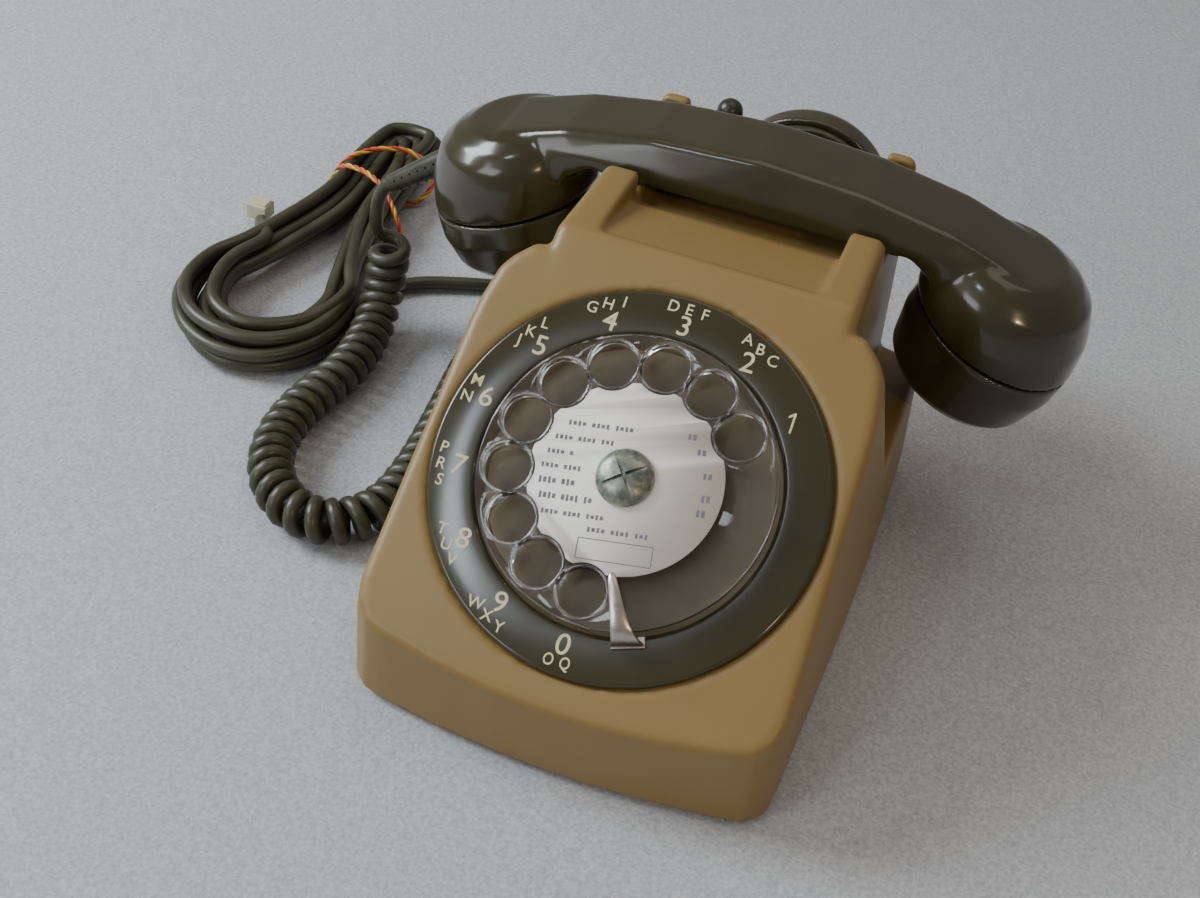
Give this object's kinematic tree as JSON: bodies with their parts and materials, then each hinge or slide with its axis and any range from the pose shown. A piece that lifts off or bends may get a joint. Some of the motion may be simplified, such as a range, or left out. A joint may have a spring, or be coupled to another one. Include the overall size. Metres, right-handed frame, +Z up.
{
  "type": "rotary telephone",
  "caption": "Rotary desk telephone: wedge case with clear finger wheel, handset on a two-horn cradle, curly cord, second earpiece on the back and a tied line cord",
  "frame": {"origin": "bottom centre of the telephone without its cords, on the plane of the rubber feet", "axes": "+X to the right as the caller sees it, -Y towards the caller, +Z up"},
  "size_m": [0.3162, 0.2828, 0.1144],
  "materials": {
    "case_plastic": "satin moulded plastic, brown-beige",
    "olive_plastic": "glossy dark olive",
    "clear_plastic": "clear, slightly grey",
    "white_card": "white paper card",
    "plain_steel": "nickelled, slightly tarnished",
    "brass_parts": "machined",
    "dark_plastic": "moulded",
    "black_rubber": "soft black rubber",
    "aluminium_can": "pressed can",
    "cord_sheath": "smooth dark olive sheath",
    "coloured_wire": "twisted red, yellow and orange insulated wire",
    "cream_plastic": "cream plastic"
  },
  "bodies": {
    "case": {"case_shell": "case_plastic", "case_top": "case_plastic", "base_tray": "case_plastic", "case_screws": "plain_steel", "rubber_feet": "black_rubber", "number_ring": "olive_plastic", "finger_stop": "plain_steel", "dial_body": "dark_plastic", "dial_screws": "plain_steel", "governor_bracket": "plain_steel", "mainspring": "plain_steel", "pulse_contacts": "brass_parts", "hook_bracket": "plain_steel", "hook_contacts": "brass_parts", "hook_spring": "plain_steel", "ringer_frame": "plain_steel", "left_gong": "brass_parts", "right_gong": "brass_parts", "gong_screws": "plain_steel", "ringer_coils": "dark_plastic", "ringer_magnet": "plain_steel", "clapper_bracket": "plain_steel", "circuit_board": "dark_plastic", "board_spacers": "plain_steel", "speech_transformer": "plain_steel", "bell_capacitor": "aluminium_can", "terminal_strip": "dark_plastic", "hanger": "dark_plastic", "cord_glands": "black_rubber", "handset_cord_lead": "cord_sheath", "handset_cord_coil": "cord_sheath", "handset_cord_tail": "cord_sheath", "line_cord_lead": "cord_sheath", "line_cord_hank": "cord_sheath", "hank_tie": "coloured_wire", "line_connector": "cream_plastic"},
    "dial_rotor": {"finger_wheel": "clear_plastic", "card": "white_card", "centre_screw": "plain_steel", "dial_shaft": "plain_steel", "main_gear": "brass_parts", "pulse_cam": "dark_plastic"},
    "idler": {"idler_pinion": "brass_parts", "worm_wheel": "brass_parts", "idler_arbor": "plain_steel"},
    "governor_rotor": {"governor": "brass_parts"},
    "left_switch_pin": {"left_plunger": "dark_plastic"},
    "right_switch_pin": {"right_plunger": "dark_plastic"},
    "switch_bar": {"hook_bar": "plain_steel"},
    "bell_clapper": {"clapper": "brass_parts"},
    "handset": {"handset_body": "olive_plastic", "handset_grip": "olive_plastic", "mouth_cap": "olive_plastic", "ear_cap": "olive_plastic", "transmitter_capsule": "aluminium_can", "receiver_capsule": "aluminium_can", "handset_sleeve": "cord_sheath"},
    "extra_earpiece": {"second_earpiece": "olive_plastic", "second_ear_cap": "olive_plastic", "second_capsule": "aluminium_can"}
  },
  "joints": [
    {"name": "dial_turn", "type": "hinge", "parent": "case", "child": "dial_rotor", "pos_m": [0, -0.0593, 0.0671], "axis": [0, 0.5878, -0.809], "range_deg": [0, 320]},
    {"name": "idler_turn", "type": "hinge", "parent": "case", "child": "idler", "pos_m": [-0.0284, -0.06254, 0.06475], "axis": [0, 0.5878, -0.809], "range_deg": [-1640, 0]},
    {"name": "governor_turn", "type": "hinge", "parent": "case", "child": "governor_rotor", "pos_m": [0, -0.04223, 0.05824], "axis": [1, 0, 0], "range_deg": [0, 3280]},
    {"name": "handset_lift", "type": "slide", "parent": "case", "child": "handset", "axis": [0, 0, 1], "range_m": [0, 0.06]},
    {"name": "left_pin_rise", "type": "slide", "parent": "case", "child": "left_switch_pin", "axis": [0, 0, 1], "range_m": [0, 0.005]},
    {"name": "right_pin_rise", "type": "slide", "parent": "case", "child": "right_switch_pin", "axis": [0, 0, 1], "range_m": [0, 0.005]},
    {"name": "switch_bar_rock", "type": "hinge", "parent": "case", "child": "switch_bar", "pos_m": [0, 0.07, 0.077], "axis": [-1, 0, 0], "range_deg": [0, 12]},
    {"name": "clapper_swing", "type": "hinge", "parent": "case", "child": "bell_clapper", "pos_m": [0, 0.024, 0.0235], "axis": [0, 0, 1], "range_deg": [-6, 6]},
    {"name": "earpiece_pull", "type": "slide", "parent": "case", "child": "extra_earpiece", "axis": [0, 1, 0], "range_m": [0, 0.03]}
  ],
  "couplings": [
    {"joint": "idler_turn", "follows": "dial_turn", "ratio": -5},
    {"joint": "governor_turn", "follows": "dial_turn", "ratio": 10},
    {"joint": "left_pin_rise", "follows": "handset_lift", "ratio": 0.083333},
    {"joint": "right_pin_rise", "follows": "handset_lift", "ratio": 0.083333},
    {"joint": "switch_bar_rock", "follows": "handset_lift", "rad_per_m": 3.2}
  ]
}
